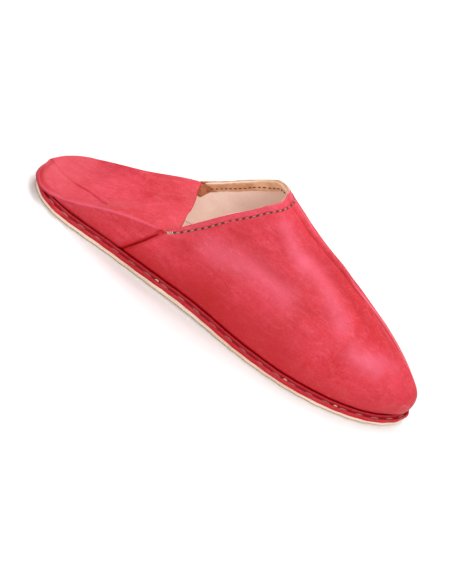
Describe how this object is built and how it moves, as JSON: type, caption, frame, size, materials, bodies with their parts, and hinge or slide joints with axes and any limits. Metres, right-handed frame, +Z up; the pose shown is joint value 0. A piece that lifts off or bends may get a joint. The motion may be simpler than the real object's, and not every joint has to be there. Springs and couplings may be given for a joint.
{
  "type": "babouche slipper",
  "caption": "Red leather babouche slipper with a round toe, a pinched centre ridge and the heel folded down, on a flat pale leather sole.",
  "frame": {"origin": "middle of the bounding box at the underside of the sole", "axes": "+X from the heel to the toe, +Y to the wearer's left, +Z up from the floor"},
  "size_m": [0.265, 0.0931, 0.0808],
  "materials": {
    "sole_leather": "natural",
    "welt_leather": "dyed",
    "insole_leather": "suede",
    "vamp_leather": "dyed, soft sheen",
    "heel_leather": "dyed, soft sheen",
    "facing_leather": "natural"
  },
  "bodies": {
    "root": {"outsole": "sole_leather", "welt": "welt_leather", "insole": "insole_leather", "upper_vamp": "vamp_leather", "upper_heel": "heel_leather", "collar_facing": "facing_leather"}
  },
  "joints": []
}
